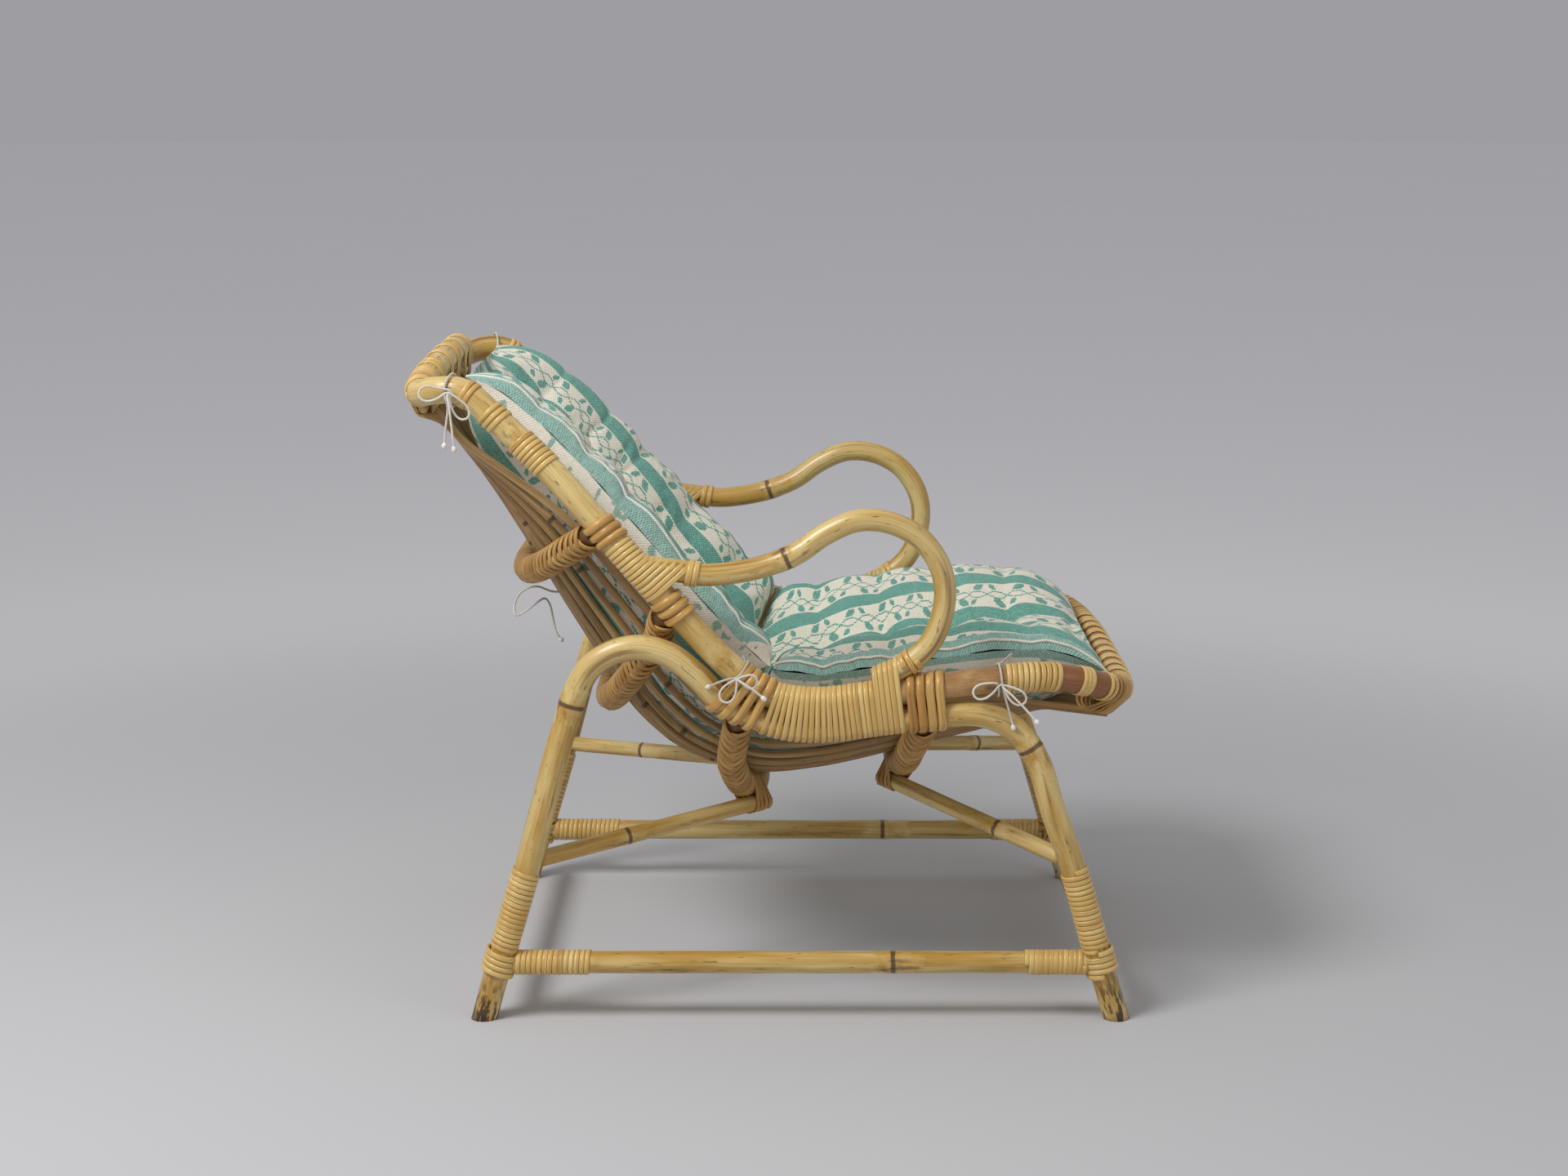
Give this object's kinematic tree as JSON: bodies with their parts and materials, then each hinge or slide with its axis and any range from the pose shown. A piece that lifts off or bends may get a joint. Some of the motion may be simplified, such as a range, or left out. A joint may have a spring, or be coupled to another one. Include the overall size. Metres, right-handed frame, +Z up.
{
  "type": "lounge chair",
  "caption": "Bent cane lounge chair: scooped slatted seat and back in one sweep, open loop arms, splayed legs with stretchers, two tied tufted cushions.",
  "frame": {"origin": "on the floor under the centre of the bounding box", "axes": "+Z up, -Y the way the chair faces, +X to the sitter's left"},
  "size_m": [0.6732, 0.903, 0.8178],
  "materials": {
    "cane_pole": "satin",
    "cane_slat": "satin",
    "cane_strip": "satin",
    "cushion_fabric": "matte",
    "tie_cord": "matte"
  },
  "bodies": {
    "root": {"rim_back": "cane_pole", "rim_front": "cane_pole", "leg_pole_left": "cane_pole", "leg_pole_right": "cane_pole", "arm_left": "cane_pole", "arm_right": "cane_pole", "side_stretcher_left": "cane_pole", "side_stretcher_right": "cane_pole", "cross_stretcher_rear": "cane_pole", "cross_stretcher_front": "cane_pole", "brace_rear_left": "cane_pole", "brace_rear_right": "cane_pole", "brace_front_left": "cane_pole", "brace_front_right": "cane_pole", "rod_top": "cane_pole", "rod_front": "cane_pole", "slat_01": "cane_slat", "slat_02": "cane_slat", "slat_03": "cane_slat", "slat_04": "cane_slat", "slat_05": "cane_slat", "slat_06": "cane_slat", "slat_07": "cane_slat", "slat_08": "cane_slat", "slat_09": "cane_slat", "slat_10": "cane_slat", "slat_11": "cane_slat", "slat_12": "cane_slat", "slat_13": "cane_slat", "slat_14": "cane_slat", "slat_15": "cane_slat", "slat_16": "cane_slat", "slat_17": "cane_slat", "slat_18": "cane_slat", "slat_19": "cane_slat", "hoop_upper_back": "cane_strip", "hoop_lower_back": "cane_strip", "hoop_rear_seat": "cane_strip", "hoop_front_seat": "cane_strip", "seat_winding_left": "cane_strip", "seat_winding_right": "cane_strip", "arm_winding_left": "cane_strip", "arm_winding_right": "cane_strip", "leg_winding_rear_left": "cane_strip", "leg_winding_rear_right": "cane_strip", "leg_winding_front_left": "cane_strip", "leg_winding_front_right": "cane_strip", "cushion_back": "cushion_fabric", "cushion_seat": "cushion_fabric", "tie_top_left": "tie_cord", "tie_top_right": "tie_cord", "tie_seat_rear_left": "tie_cord", "tie_seat_rear_right": "tie_cord", "tie_seat_front_left": "tie_cord", "tie_seat_front_right": "tie_cord", "tie_back": "tie_cord"}
  },
  "joints": []
}
